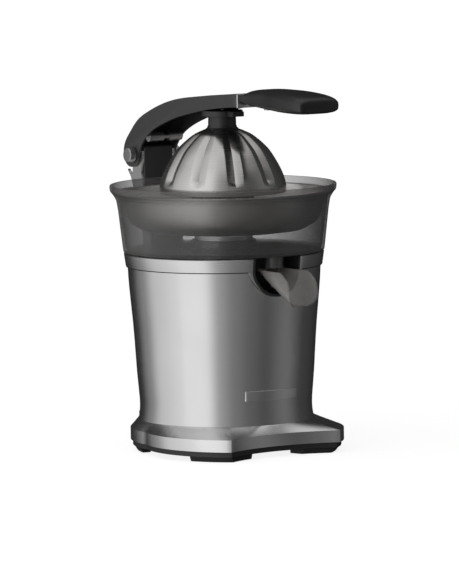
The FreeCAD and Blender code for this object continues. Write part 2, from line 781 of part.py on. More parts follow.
def spout_chute():
    """Sloping open channel with tall sides and a rounded lip."""
    front_y = -131.0
    back_y = spout_pivot_y + 3.5
    top = spout_pivot_z + 2.5
    side = [(back_y, top), (back_y, spout_floor_z(back_y)), (-118, spout_floor_z(-118)),
            (-126, top - 31.0), (-130, top - 25.5), (front_y, top - 19.5), (-129, top - 12.0),
            (-124.5, top - 6.0), (-117, top - 2.0), (-106, top - 0.4), (-95, top)]
    blank = slab(side, -spout_half, spout_half)
    direction = V(0, -math.cos(math.radians(26.6)), -math.sin(math.radians(26.6)))
    start = V(0, back_y + 20, spout_floor_z(back_y + 20) + spout_half / math.cos(math.radians(26.6)))
    round_outer = Part.makeCylinder(spout_half, 140, start, direction)
    round_inner = Part.makeCylinder(spout_half - spout_wall, 140, start, direction)

    def raised(cylinder, half):
        column = block(-half, half, -160, 0, 0, 80)
        tilt = FreeCAD.Placement(start, FreeCAD.Rotation(X_AXIS, 26.6))
        column.translate(V(0, 20, 0))
        column.Placement = tilt.multiply(column.Placement)
        return cylinder.fuse(column)

    shell = blank.common(raised(round_outer, spout_half))
    shell = shell.cut(raised(round_inner, spout_half - spout_wall))
    rear_web = block(-spout_half, spout_half, back_y - spout_wall, back_y, spout_pivot_z - 6, spout_pivot_z - 2.2)
    shell = joined([shell, rear_web.common(raised(round_outer, spout_half))])
    shell = shell.cut(spout_stopper())
    return shell.cut(cross_rod(2.0 + running_gap, -30, 30, spout_pivot_y, spout_pivot_z))


def spout_pins():
    pins = []
    for side in (-1, 1):
        ends = sorted([side * (spout_half - spout_wall - 0.6), side * (ear_inner + 2.5)])
        pins.append(cross_rod(2.0, ends[0], ends[1], spout_pivot_y, spout_pivot_z))
    return pins


def spout_stopper():
    """Round stop pad on a stem that closes the outlet when the spout is tipped up."""
    slope = math.radians(22)
    normal = V(0, -math.sin(slope), math.cos(slope))
    centre = V(0, spout_pivot_y - 18.0, spout_pivot_z - 3.2)
    pad = Part.makeCylinder(8.2, 2.0, centre - normal * 2.0, normal)
    stem = Part.makeCylinder(2.6, 9.0, centre - normal * 11.0, normal)
    return joined([pad, stem])


def strainer():
    """Pressed steel basket: flange on the bowl's shoulder, slotted flat bottom."""
    top = rim_bottom + 1.4
    wall = 0.8
    low = strainer_bottom
    depth = top - low
    outside = [(32.5, low), (60, low), (74, low + 0.05 * depth), (85, low + 0.22 * depth),
               (91.2, low + 0.5 * depth), (93.5, low + 0.85 * depth), (94.0, top - wall),
               (bowl_rim_radius - bowl_wall - 0.4, top - wall), (bowl_rim_radius - bowl_wall - 0.4, top)]
    inside = [(93.2, top), (92.7, low + 0.85 * depth + 0.3), (90.4, low + 0.5 * depth + 0.5),
              (84.4, low + 0.22 * depth + 0.8), (73.7, low + 0.05 * depth + 0.8), (60, low + wall), (32.5, low + wall)]
    basket = turned(outside + inside)
    slots = []
    for ring_radius, count in ((36, 24), (46.5, 30)):
        slots += around(block(ring_radius, ring_radius + 7.5, -0.9, 0.9, low - 1, low + 2), count)
    return basket.cut(Part.makeCompound(slots))


def reamer_cone():
    """Ribbed squeezing cone on a round base with a socket for the shaft."""
    low = cone_bottom
    top = cone_bottom + cone_height
    core = turned([(0, low), (cone_radius, low), (cone_radius, low + 3), (cone_radius - 6, low + 7),
                   (cone_radius * 0.66, low + 0.36 * cone_height), (cone_radius * 0.42, low + 0.68 * cone_height),
                   (cone_radius * 0.16, top - 4), (0, top - 2)])
    rib_points = [(0, low + 3), (cone_radius - 2, low + 3), (cone_radius - 3.5, low + 12),
                  (cone_radius * 0.76, low + 0.40 * cone_height), (cone_radius * 0.52, low + 0.70 * cone_height),
                  (cone_radius * 0.2, top - 2.5), (0, top)]
    corners = [V(r, 0.9, z) for r, z in rib_points]
    rib = Part.Face(Part.makePolygon(corners + corners[:1])).extrude(V(0, -1.8, 0))
    cone = joined([core] + around(rib, cone_ribs))
    cone = cone.cut(shaft_hexagon(shaft_flats, low - 1, shaft_high))
    return cone.cut(rod(shaft_radius, low - 1, low + 1))


# ---- arm ------------------------------------------------------------------
grip_start = -57.5
band_thickness = 2.5
arm_front = grip_start + band_thickness


def smooth(points, x):
    curve = Part.BSplineCurve()
    curve.interpolate([V(x, y, z) for y, z in points])
    return curve.toShape()


arm_top_points = [
    (138.1, pivot_z + 2.0), (134.5, pivot_z + 12.5), (126.8, pivot_z + 20.8), (114.9, pivot_z + 31.6),
    (97.4, pivot_z + 40.6), (75.4, pivot_z + 48.4), (46.9, pivot_z + 55.2), (11.6, pivot_z + 59.4),
    (-28.3, pivot_z + 62.8), (arm_front, pivot_z + 64.0)]
arm_low_points = [
    (112.7, pivot_z + 1.2), (108.4, pivot_z + 7.8), (97.4, pivot_z + 19.0), (87.3, pivot_z + 24.7),
    (69.0, pivot_z + 31.8), (46.9, pivot_z + 38.1), (25.8, pivot_z + 42.6), (0.5, pivot_z + 47.0),
    (arm_front, pivot_z + 52.4)]
leg_end = (125.4, pivot_z - 11.6)
tang_low = pivot_z + 55.5
tang_high = pivot_z + 61.5


def press_arm():
    """Cast arm: inverted channel with legs that straddle the hinge plates."""
    x = -arm_half
    top = smooth(arm_top_points, x)
    front = Part.LineSegment(V(x, *arm_top_points[-1]), V(x, *arm_low_points[-1])).toShape()
    low = smooth(arm_low_points, x)
    end = Part.Arc(V(x, *arm_low_points[0]), V(x, *leg_end), V(x, *arm_top_points[0])).toShape()
    arm = Part.Face(Part.Wire([top, front, low, end])).extrude(V(arm_width, 0, 0))
    roof = 3.0
    hollow_points = [(y - roof if y > 120 else y - 0.2 * roof, z - roof if y < 120 else z - 0.3 * roof)
                     for y, z in arm_top_points[1:-1]]
    inner_x = -arm_inner
    hollow_top = smooth(hollow_points, inner_x)
    first = hollow_points[0]
    last = hollow_points[-1]
    back = [V(inner_x, *last), V(inner_x, last[0], pivot_z - 64), V(inner_x, 160, pivot_z - 64),
            V(inner_x, 160, pivot_z + 7),
            V(inner_x, first[0], pivot_z + 7), V(inner_x, *first)]
    hollow = Part.Face(Part.Wire([hollow_top] + Part.makePolygon(back).Edges)).extrude(V(2 * arm_inner, 0, 0))
    arm = arm.cut(hollow)
    bridge = block(-arm_inner - 1, arm_inner + 1, -16, 16, socket_top, pivot_z + 59).common(
        Part.Face(Part.Wire([top, front, low, end])).extrude(V(arm_width, 0, 0)))
    tang = block(-13, 13, grip_start - 62, arm_front + 4, tang_low, tang_high)
    arm = joined([arm, bridge, tang])
    arm = arm.cut(cross_rod(pivot_pin_radius + 2.0, -30, 30, pivot_y, pivot_z))
    arm = arm.cut(cross_rod(2.0, -arm_inner - 1.2, arm_inner + 1.2, cross_bar_y, cross_bar_z))
    arm = arm.cut(rod(2.0, socket_top - 10, tang_low + 1.5))
    for y in grip_screw_places:
        arm = arm.cut(rod(1.6, socket_top - 10, tang_high - 1.5, 0, y))
    return arm


cross_bar_y = 99.0
cross_bar_z = pivot_z + 17.5
grip_screw_places = (grip_start - 18, grip_start - 50)


def hinge_bushes():
    bushes = []
    for left in (-arm_half, arm_inner):
        bushes.append(cross_rod(pivot_pin_radius + 2.0, left, left + arm_wall, pivot_y, pivot_z)
                      .cut(cross_rod(pivot_pin_radius + running_gap, -30, 30, pivot_y, pivot_z)))
    return bushes


def cross_bar():
    """Bar across the channel with two rollers that the balance springs bear on."""
    pin = cross_rod(2.0, -arm_inner - 1.2, arm_inner + 1.2, cross_bar_y, cross_bar_z)
    rollers = [cross_rod(4.2, -arm_inner + 0.4, -2.2, cross_bar_y, cross_bar_z),
               cross_rod(4.2, 3.4, arm_inner - 0.4, cross_bar_y, cross_bar_z)]
    return joined([pin] + rollers)


def trim_band():
    """Bright band between the arm and the grip."""
    band = block(-arm_half, arm_half, grip_start, arm_front, arm_low_points[-1][1] - 0.4, arm_top_points[-1][1] + 0.4)
    tang_hole = block(-13, 13, grip_start - 1, arm_front + 1, tang_low, tang_high)
    return band.cut(tang_hole)


def grip_station(y, half, low, high):
    """Rounded section of the grip at one station."""
    round_off = 4.5
    points = [(-half, low + round_off), (-half + round_off, low), (half - round_off, low), (half, low + round_off),
              (half, high - round_off), (half - round_off * 1.6, high), (-half + round_off * 1.6, high),
              (-half, high - round_off)]
    corners = [V(x, y, z) for x, z in points]
    return Part.makePolygon(corners + corners[:1])


def handle_grip():
    """Paddle-shaped soft grip over the arm's tang."""
    wide = grip_width / 2
    base_z = tang_low
    stations = [(0.0, arm_half, -3.1, 9.1), (0.10, arm_half + 0.3, -3.5, 11.9),
                (0.30, arm_half + 1.2, -4.9, 13.9), (0.55, wide - 0.8, -6.1, 14.1),
                (0.80, wide, -6.9, 13.1), (0.95, wide - 0.6, -6.7, 11.5), (1.0, wide - 3.5, -4.1, 9.1)]
    wires = [grip_station(grip_start - grip_length * share, half, base_z + low, base_z + high)
             for share, half, low, high in stations]
    grip = Part.makeLoft(wires, True, False)
    grip = grip.cut(block(-13, 13, grip_start - 62, grip_start + 1, tang_low, tang_high))
    for y in grip_screw_places:
        grip = grip.cut(rod(1.6, tang_low - 20, tang_low + 0.5, 0, y))
        grip = grip.cut(rod(3.2, tang_low - 20, tang_low - 4.0, 0, y))
    return grip


def grip_screws():
    return [screw(3.1, 1.4, 1.55, 8.6, V(0, y, tang_low - 5.5), Z_AXIS) for y in grip_screw_places]


def dome_socket():
    """Round seat under the arm that the dome's neck locks into."""
    disc = rod(19.0, neck_top, socket_top - 0.3)
    spigot = rod(10.0, neck_top, socket_top)
    seat = joined([disc, spigot])
    seat = seat.cut(rod(2.0, 0, 400))
    return seat.cut(block(-6.3, 6.3, -40, -13.7, neck_top - 1, socket_top + 1))


def release_button():
    """Button at the front of the seat that frees the dome when pushed in."""
    return block(-6, 6, -27.5, -17.2, neck_top + 0.3, socket_top - 0.6)


def dome_neck():
    collar = turned([(0, dome_top), (neck_radius + 2.6, dome_top), (neck_radius + 1.0, dome_top + 1.6),
                     (neck_radius + 0.2, dome_top + 3.8), (neck_radius, neck_top), (0, neck_top)])
    return collar.cut(rod(2.0, 0, 400))


def neck_screw():
    """Central screw that holds neck, seat and arm together."""
    head = 2.5
    start = dome_top - dome_wall - head
    return screw(4.5, head, 2.0, socket_top + 4 - start - head, V(0, 0, start), Z_AXIS)


def dome_profile(offset):
    radius = dome_radius - offset
    height = dome_height
    shares = [(1.0, 0.10), (0.952, 0.27), (0.857, 0.46), (0.705, 0.70), (0.500, 0.90), (0.262, 1.0)]
    curve = [(radius, dome_bottom)]
    curve += [(radius * r, dome_bottom + (height - offset) * z) for r, z in shares]
    return curve


def flute(depth):
    """Wedge along a chord of the dome that leaves one V-shaped groove."""
    foot_r = dome_radius * 1.0 + depth
    head_r = dome_radius * 0.30 + depth
    foot_z = dome_bottom + 0.15 * dome_height
    head_z = dome_top + 0.02 * dome_height
    along = V(head_r - foot_r, 0, head_z - foot_z)
    out = V(along.z, 0, -along.x).normalize()
    spread = 15.0
    reach = 22.0
    corners = [V(foot_r, 0, foot_z),
               V(foot_r + out.x * reach, spread * 1.4, foot_z + out.z * reach),
               V(foot_r + out.x * reach, -spread * 1.4, foot_z + out.z * reach)]
    return Part.Face(Part.makePolygon(corners + corners[:1])).extrude(along)


def press_dome():
    """Fluted steel dome that comes down over the fruit."""
    outer = turned(dome_profile(0) + [(0, dome_top), (0, dome_bottom)])
    inner = turned([(0, dome_bottom - 1), (dome_radius - dome_wall, dome_bottom - 1)] + dome_profile(dome_wall)
                   + [(0, dome_top - dome_wall)])
    for groove in around(flute(2.0), dome_flutes, 22.5):
        outer = outer.cut(groove)
    for groove in around(flute(2.0 - dome_wall * 1.3), dome_flutes, 22.5):
        inner = inner.cut(groove)
    return outer.cut(inner).cut(rod(2.0, 0, 400))


# ---- write every node -----------------------------------------------------
os.makedirs("parts", exist_ok=True)
save("base_casting", base_casting())
save("bottom_tray", bottom_tray())
save("rubber_feet", foot(-72, -38), foot(-142, -108), foot(12, 52), foot(128, 168),
     rod(centre_pad_radius, 0, foot_height))
save("tray_screws", *[screw(3.2, 1.8, tray_screw_shank, tray_thickness + 6, V(x, y, foot_height + 0.2), Z_AXIS)
                      for x, y in tray_screw_places])
save("body_shell", body_shell())
save("top_collar", top_collar())
save("bowl_deck", bowl_deck())
save("hub_cap", hub_cap())
save("spout_recess", spout_recess())
save("name_badge", name_badge())
save("rear_column", rear_column())
save("pivot_tower", pivot_tower())
save("hinge_bracket_left", hinge_bracket(-1))
save("hinge_bracket_right", hinge_bracket(1))
save("bracket_bolts", *bracket_bolts())
save("hinge_pin", hinge_pin())
save("hinge_springs", *hinge_springs())
save("cord_inlet", cord_inlet())
save("chassis_plate", chassis_plate())
save("chassis_posts", *chassis_posts())
save("motor_stator", motor_stator())
save("stator_windings", stator_windings())
save("motor_brackets", motor_bracket(lower_bracket_low, 1), motor_bracket(upper_bracket_low, -1))
save("motor_bushes", *motor_bushes())
save("motor_bolts", *motor_bolts())
save("rotor_core", tube(rotor_radius, motor_shaft_radius, stator_low, stator_high))
save("motor_shaft", rod(motor_shaft_radius, tray_top + 1.5, pinion_bottom + gear_depth + 1.2))
save("motor_pinion", gear(pinion_teeth, pinion_bottom, pinion_bottom + gear_depth + 1.2, 90)
     .cut(rod(motor_shaft_radius, 0, 300)))
save("cooling_fan", cooling_fan())
save("gearbox_housing", gearbox_housing())
save("gearbox_cover", gearbox_cover())
save("chassis_screws", *post_screws(), *box_screws())
save("idler_pin", rod(idler_pin_radius, gearbox_bottom + 0.5, gearbox_top + 3, 0, centre_distance))
save("idler_gear", idler_gear())
save("output_gear", output_gear())
save("output_bush", tube(output_hub_radius + 2.5, output_hub_radius + running_gap,
                         gearbox_top - 4, output_hub_top - 1))
save("drive_shaft", drive_shaft())
save("press_disc", press_disc())
save("return_spring", return_spring())
save("micro_switch", micro_switch())
save("switch_plunger", switch_plunger())
save("shaft_bush", tube(9.0, shaft_radius + running_gap, collar_top - 21, hub_top - 10))
save("shaft_seal", tube(12.0, shaft_radius + running_gap, hub_top - 10, hub_top - 5))
save("juice_bowl", juice_bowl())
save("spout_chute", spout_chute())
save("spout_pins", *spout_pins())
save("spout_stopper", spout_stopper())
save("strainer", strainer())
save("reamer_cone", reamer_cone())
save("press_arm", press_arm())
save("trim_band", trim_band())
save("handle_grip", handle_grip())
save("grip_screws", *grip_screws())
save("hinge_bushes", *hinge_bushes())
save("cross_bar", cross_bar())
save("dome_socket", dome_socket())
save("release_button", release_button())
save("dome_neck", dome_neck())
save("neck_screw", neck_screw())
save("press_dome", press_dome())
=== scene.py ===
import json
import math

import bmesh
import bpy
from mathutils import Matrix, Vector

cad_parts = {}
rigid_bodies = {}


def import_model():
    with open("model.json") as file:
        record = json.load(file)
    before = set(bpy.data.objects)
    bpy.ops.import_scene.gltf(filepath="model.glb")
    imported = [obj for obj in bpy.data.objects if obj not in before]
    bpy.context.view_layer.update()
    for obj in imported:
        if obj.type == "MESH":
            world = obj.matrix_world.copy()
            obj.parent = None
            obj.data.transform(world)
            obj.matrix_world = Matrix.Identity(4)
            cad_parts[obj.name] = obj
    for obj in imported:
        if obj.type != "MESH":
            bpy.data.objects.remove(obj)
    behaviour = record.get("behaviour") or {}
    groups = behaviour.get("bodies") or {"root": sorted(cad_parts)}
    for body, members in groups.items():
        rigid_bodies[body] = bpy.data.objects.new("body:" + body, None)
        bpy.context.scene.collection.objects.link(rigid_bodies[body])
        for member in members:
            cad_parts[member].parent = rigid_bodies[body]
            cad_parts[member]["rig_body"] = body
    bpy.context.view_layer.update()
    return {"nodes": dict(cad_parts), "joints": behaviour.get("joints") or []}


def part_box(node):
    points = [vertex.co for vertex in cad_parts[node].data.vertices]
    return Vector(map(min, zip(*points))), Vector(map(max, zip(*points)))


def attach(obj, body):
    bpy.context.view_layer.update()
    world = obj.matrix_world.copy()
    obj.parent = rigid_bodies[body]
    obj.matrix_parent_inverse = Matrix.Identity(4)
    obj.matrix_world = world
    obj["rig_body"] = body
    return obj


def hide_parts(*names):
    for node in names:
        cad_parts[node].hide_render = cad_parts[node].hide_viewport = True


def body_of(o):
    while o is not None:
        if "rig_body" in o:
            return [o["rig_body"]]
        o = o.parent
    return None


MM = 0.001

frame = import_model()
nodes = frame["nodes"]
scene = bpy.context.scene

# the photograph's viewing angle on the object, in degrees
photo_turn = 33.0
photo_lift = 5.6
photo_roll = 0.8
# where the camera stands, in degrees round Z from +X
camera_side = -90.0 - photo_turn


# ---- materials --------------------------------------------------------------
def node_material(name):
    material = bpy.data.materials.new(name)
    material.use_nodes = True
    tree = material.node_tree
    return material, tree, tree.nodes["Principled BSDF"]


def object_coordinates(tree, scale):
    """Object-space position, stretched by a scale per axis."""
    place = tree.nodes.new("ShaderNodeTexCoord")
    stretch = tree.nodes.new("ShaderNodeMapping")
    stretch.inputs["Scale"].default_value = scale
    tree.links.new(place.outputs["Object"], stretch.inputs["Vector"])
    return stretch.outputs["Vector"]


def noise(tree, scale, detail, stretch=(1, 1, 1)):
    texture = tree.nodes.new("ShaderNodeTexNoise")
    texture.inputs["Scale"].default_value = scale
    texture.inputs["Detail"].default_value = detail
    tree.links.new(object_coordinates(tree, stretch), texture.inputs["Vector"])
    return texture.outputs["Fac"]


def spread(tree, source, low, high):
    """Maps a 0.3 to 0.7 texture value onto low to high."""
    remap = tree.nodes.new("ShaderNodeMapRange")
    remap.inputs["From Min"].default_value = 0.3
    remap.inputs["From Max"].default_value = 0.7
    remap.inputs["To Min"].default_value = low
    remap.inputs["To Max"].default_value = high
    tree.links.new(source, remap.inputs["Value"])
    return remap.outputs["Result"]


def tinted(tree, shader, source, dark, light):
    """Base colour that wanders between two tones."""
    ramp = tree.nodes.new("ShaderNodeValToRGB")
    ramp.color_ramp.elements[0].position = 0.3
    ramp.color_ramp.elements[1].position = 0.7
    ramp.color_ramp.elements[0].color = (*dark, 1)
    ramp.color_ramp.elements[1].color = (*light, 1)
    tree.links.new(source, ramp.inputs["Fac"])
    tree.links.new(ramp.outputs["Color"], shader.inputs["Base Color"])


def bumped(tree, shader, source, strength, distance):
    bump = tree.nodes.new("ShaderNodeBump")
    bump.inputs["Strength"].default_value = strength
    bump.inputs["Distance"].default_value = distance
    tree.links.new(source, bump.inputs["Height"])
    tree.links.new(bump.outputs["Normal"], shader.inputs["Normal"])


def turned_steel(name, dark, light, rough, brush):
    """Steel brushed round the vertical axis: fine lines, a little cloudiness."""
    material, tree, shader = node_material(name)
    shader.inputs["Metallic"].default_value = 1.0
    lines = noise(tree, 1.0, 3.0, (18, 18, brush))
    cloud = noise(tree, 14.0, 2.0)
    tinted(tree, shader, cloud, dark, light)
    tree.links.new(spread(tree, lines, rough - 0.03, rough + 0.04), shader.inputs["Roughness"])
    bumped(tree, shader, lines, 0.025, 0.00001)
    return material


def metal(name, dark, light, rough, grain=900.0, depth=0.00003):
    """Cast, plated or plain metal with a fine grain."""
    material, tree, shader = node_material(name)
    shader.inputs["Metallic"].default_value = 1.0
    fine = noise(tree, grain, 3.0)
    cloud = noise(tree, 22.0, 3.0)
    tinted(tree, shader, cloud, dark, light)
    tree.links.new(spread(tree, fine, rough - 0.04, rough + 0.06), shader.inputs["Roughness"])
    bumped(tree, shader, fine, 0.25, depth)
    return material


def plastic(name, dark, light, rough, grain=1400.0, depth=0.00005, specular=0.5, coat=0.0):
    """Moulded plastic, paint or rubber with a fine spark texture."""
    material, tree, shader = node_material(name)
    shader.inputs["Specular IOR Level"].default_value = specular
    shader.inputs["Coat Weight"].default_value = coat
    shader.inputs["Coat Roughness"].default_value = 0.25
    fine = noise(tree, grain, 4.0)
    cloud = noise(tree, 18.0, 3.0)
    tinted(tree, shader, cloud, dark, light)
    tree.links.new(spread(tree, fine, rough - 0.05, rough + 0.06), shader.inputs["Roughness"])
    bumped(tree, shader, fine, 0.35, depth)
    return material


def smoky(name, tone, face_alpha, edge_alpha, rough):
    """Clear smoke-grey plastic: seen through face-on, denser towards its edges."""
    material, tree, shader = node_material(name)
    shader.inputs["IOR"].default_value = 1.75
    fine = noise(tree, 60.0, 2.0)
    tinted(tree, shader, fine, tone, tuple(c * 1.12 for c in tone))
    tree.links.new(spread(tree, fine, rough, rough + 0.04), shader.inputs["Roughness"])
    facing = tree.nodes.new("ShaderNodeLayerWeight")
    facing.inputs["Blend"].default_value = 0.35
    remap = tree.nodes.new("ShaderNodeMapRange")
    remap.inputs["To Min"].default_value = face_alpha
    remap.inputs["To Max"].default_value = edge_alpha
    tree.links.new(facing.outputs["Facing"], remap.inputs["Value"])
    tree.links.new(remap.outputs["Result"], shader.inputs["Alpha"])
    return material


def grey(value, warmth=0.0):
    """A grey that leans towards red for a positive warmth."""
    return (value * (1 + warmth), value, value * (1 - warmth))


body_steel = turned_steel("body_steel", grey(0.62), grey(0.66), 0.20, 2600.0)
collar_steel = turned_steel("collar_steel", grey(0.60), grey(0.64), 0.24, 2600.0)
dome_steel = turned_steel("dome_steel", grey(0.52, 0.02), grey(0.60, 0.02), 0.24, 2600.0)
basket_steel = turned_steel("basket_steel", grey(0.78, 0.03), grey(0.86, 0.03), 0.30, 900.0)
polished = metal("polished_steel_bright", grey(0.66), grey(0.74), 0.16, 1500.0, 0.00001)
plated = metal("zinc_plate", grey(0.46, -0.02), grey(0.56, 0.01), 0.36, 1100.0, 0.00002)
pin_steel = metal("pin_steel", grey(0.30), grey(0.38), 0.33, 1300.0, 0.00003)
cast_silver = metal("cast_silver_satin", grey(0.66), grey(0.72), 0.22, 1300.0, 0.000004)
aluminium = metal("aluminium_diecast", grey(0.45), grey(0.55), 0.5, 700.0, 0.00008)
winding = metal("copper_enamel", (0.42, 0.16, 0.06), (0.62, 0.27, 0.11), 0.35, 600.0, 0.0001)
core_steel = metal("lamination_blue", (0.16, 0.17, 0.19), (0.24, 0.25, 0.27), 0.45, 800.0, 0.00005)
sintered = metal("sintered_bronze", (0.42, 0.28, 0.12), (0.55, 0.38, 0.18), 0.45, 1500.0, 0.00005)
arm_paint = plastic("arm_satin_paint", grey(0.034), grey(0.042), 0.38, 1800.0, 0.00002, 0.6, 0.15)
grip_rubber = plastic("soft_grip", grey(0.012), grey(0.018), 0.36, 2200.0, 0.00003, 0.6)
tray_plastic = plastic("tray_black", grey(0.018), grey(0.026), 0.48)
dark_plastic = plastic("dark_moulding", grey(0.020), grey(0.030), 0.36)
foot_rubber = plastic("foot_rubber", grey(0.014), grey(0.022), 0.72, 900.0, 0.0001, 0.3)
nylon = plastic("gear_nylon", (0.70, 0.69, 0.64), (0.80, 0.79, 0.74), 0.40)
silicone = plastic("seal_silicone", grey(0.11), grey(0.14), 0.5)
tower_plastic = plastic("tower_moulding", grey(0.040), grey(0.050), 0.42)
bowl_smoke = smoky("bowl_smoke", grey(0.18, 0.02), 0.26, 1.0, 0.14)
# the spout's copy of the smoke plastic is lighter in tone, as painted highlight along its edges
spout_smoke_painted_highlight = smoky("spout_smoke_painted_highlight", grey(0.36, 0.05), 0.13, 1.0, 0.05)

finishes = {
    "cast_silver": cast_silver, "black_plastic": tray_plastic, "rubber_black": foot_rubber,
    "brushed_steel": body_steel, "polished_steel": polished, "zinc_steel": plated,
    "smoke_clear": bowl_smoke, "grey_paint": arm_paint, "soft_black": grip_rubber,
    "dark_plastic": dark_plastic, "white_nylon": nylon, "copper_wire": winding,
    "lamination": core_steel, "bronze": sintered, "aluminium_cast": aluminium,
    "silicone_grey": silicone,
}


def dress(name, material):
    for slot in nodes[name].material_slots:
        slot.material = material


# ---- mesh helpers -----------------------------------------------------------
def shown(name, mesh, material, body, slot, *stands_for):
    """Links a finished mesh as a piece of the object."""
    piece = bpy.data.objects.new(name, mesh)
    scene.collection.objects.link(piece)
    mesh.materials.clear()
    mesh.materials.append(material)
    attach(piece, body)
    if stands_for:
        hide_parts(*stands_for)
    return piece


def smooth_by_angle(mesh_data, angle=35.0):
    """Smooth shading that stays crisp over edges sharper than the angle."""
    limit = math.radians(angle)
    for edge in mesh_data.edges:
        if len(edge.link_faces) == 2:
            edge.smooth = edge.calc_face_angle(0.0) < limit
        else:
            edge.smooth = False
    for face in mesh_data.faces:
        face.smooth = True


def bridged(mesh_data, rows, closed=True):
    """Faces between each row of vertices and the next, round the row or along it."""
    for row, after in zip(rows, rows[1:]):
        for index in range(len(row) if closed else len(row) - 1):
            other = (index + 1) % len(row)
            mesh_data.faces.new((row[index], row[other], after[other], after[index]))


def turned_row(mesh_data, outline, theta):
    """The outline's (r, z) points as vertices, turned to an angle round the Z axis."""
    return [mesh_data.verts.new((r * math.cos(theta) * MM, r * math.sin(theta) * MM, z * MM))
            for r, z in outline]


def finished(mesh_data, name, angle=35.0):
    """The worked mesh as a Blender mesh, with its normals and shading set."""
    bmesh.ops.recalc_face_normals(mesh_data, faces=mesh_data.faces)
    smooth_by_angle(mesh_data, angle)
    mesh = bpy.data.meshes.new(name)
    mesh_data.to_mesh(mesh)
    mesh_data.free()
    return mesh


def softened(node, name, width, material, slot):
    """The CAD node with its tessellation cleaned and its edges rounded over."""
    weld = 0.002 * MM
    flat = math.radians(0.6)
    corner = math.radians(30.0)
    data = bmesh.new()
    data.from_mesh(nodes[node].data)
    bmesh.ops.remove_doubles(data, verts=data.verts, dist=weld)
    bmesh.ops.dissolve_limit(data, angle_limit=flat, verts=data.verts, edges=data.edges)
    sharp = [e for e in data.edges if len(e.link_faces) == 2 and e.calc_face_angle(0.0) > corner]
    bmesh.ops.bevel(data, geom=sharp, offset=width * MM, segments=3, profile=0.5,
                    affect="EDGES", clamp_overlap=True)
    return shown(name, finished(data, name, 40.0), material, body_of(nodes[node])[0], slot, node)


def rounded(outline, radius, steps=4):
    """Closed outline with every corner turned into a small arc."""
    count = len(outline)
    result = []
    for index in range(count):
        here = Vector(outline[index])
        before = Vector(outline[index - 1])
        after = Vector(outline[(index + 1) % count])
        back = min(radius, 0.45 * (before - here).length)
        ahead = min(radius, 0.45 * (after - here).length)
        start = here + (before - here).normalized() * back
        end = here + (after - here).normalized() * ahead
        for step in range(steps + 1):
            t = step / steps
            point = start * (1 - t) ** 2 + here * 2 * t * (1 - t) + end * t ** 2
            result.append((point.x, point.y))
    return result


def spline(points, share):
    """Point on a Catmull-Rom curve through the points, share from 0 to 1."""
    span = share * (len(points) - 1)
    index = min(int(span), len(points) - 2)
    t = span - index
    p = [Vector(points[min(max(index + k, 0), len(points) - 1)]) for k in (-1, 0, 1, 2)]
    return (p[1] * 2 + (p[2] - p[0]) * t + (p[0] * 2 - p[1] * 5 + p[2] * 4 - p[3]) * t * t
            + (p[1] * 3 - p[0] - p[2] * 3 + p[3]) * t ** 3) * 0.5


def lathed(name, outline, segments=192, radius_at=None, angle=30.0):
    """Turns a closed (r, z) outline in millimetres round the Z axis."""
    data = bmesh.new()
    rows = []
    for step in range(segments):
        theta = 2 * math.pi * step / segments
        here = [(radius_at(r, z, theta), z) for r, z in outline] if radius_at else outline
        rows.append(turned_row(data, here, theta))
    bridged(data, rows + rows[:1])
    return finished(data, name, angle)


def lowest(node):
    """The low corner of a CAD node's box, in millimetres."""
    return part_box(node)[0] / MM


def highest(node):
    """The high corner of a CAD node's box, in millimetres."""
    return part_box(node)[1] / MM


# ---- carried-over CAD nodes -------------------------------------------------
def slot_of(name):
    """The record's material slot that a CAD node was packed with."""
    slots = nodes[name].material_slots
    if not slots or not slots[0].material:
        return ""
    return slots[0].material.name.split(".")[0]


for name in nodes:
    dress(name, finishes.get(slot_of(name), plated))

# ---- base -------------------------------------------------------------------
# placing of the thin dark ring that stands as a painted gap shadow under the collar
gap_shadow_drop = 12.0
gap_shadow_radius = 89.0
gap_shadow_margin = 4.0


def paint_underside_shade(piece, material):
    """A second, dark material as painted shade on the faces that look down, or along the ring at its gap.
    """
    piece.data.materials.append(material)
    for face in piece.data.polygons:
        outward = Vector((face.center.x, face.center.y, 0)).normalized()
        looks_down = face.normal.z < -0.3
        looks_along = abs(face.normal.dot(outward)) < 0.5 and face.normal.z < 0.5
        if looks_down or looks_along:
            face.material_index = 1


def gap_shadow_ring_mesh():
    """Thin dark ring under the collar as a painted gap shadow, open where the spout's gap is."""
    seat = highest("top_collar").z - gap_shadow_drop
    half_gap = math.asin((highest("spout_recess").x + gap_shadow_margin) / gap_shadow_radius)
    profile = [(-0.7, -0.8), (0.7, -0.8), (1.0, -0.3), (0.9, 0.0), (-0.7, 0.0)]
    section = [(gap_shadow_radius + out, seat + rise) for out, rise in profile]
    steps = 160
    data = bmesh.new()
    rows = []
    for step in range(steps + 1):
        theta = -math.pi / 2 + half_gap + (2 * math.pi - 2 * half_gap) * step / steps
        rows.append(turned_row(data, section, theta))
    bridged(data, rows)
    data.faces.new(rows[0])
    data.faces.new(rows[-1])
    return finished(data, "collar_gap_shadow_ring", 40.0)


softened("base_casting", "base_shell", 1.6, cast_silver, "cast_silver")
softened("bottom_tray", "base_tray", 1.2, tray_plastic, "black_plastic")
softened("rubber_feet", "feet", 0.8, foot_rubber, "rubber_black")
softened("body_shell", "body_skin", 0.3, body_steel, "brushed_steel")
collar = softened("top_collar", "collar_ring", 0.5, collar_steel, "brushed_steel")
# painted shade: the collar's downward faces and gap ends take the dark moulding
paint_underside_shade(collar, dark_plastic)
softened("rear_column", "column_cover", 1.8, dark_plastic, "black_plastic")
softened("pivot_tower", "tower_cover", 1.2, tower_plastic, "black_plastic")
softened("name_badge", "blank_badge", 0.3, polished, "polished_steel")

# dark rubber ring under the collar as a painted gap shadow
shown("collar_gap_shadow_ring", gap_shadow_ring_mesh(), foot_rubber, "base", "rubber_black")

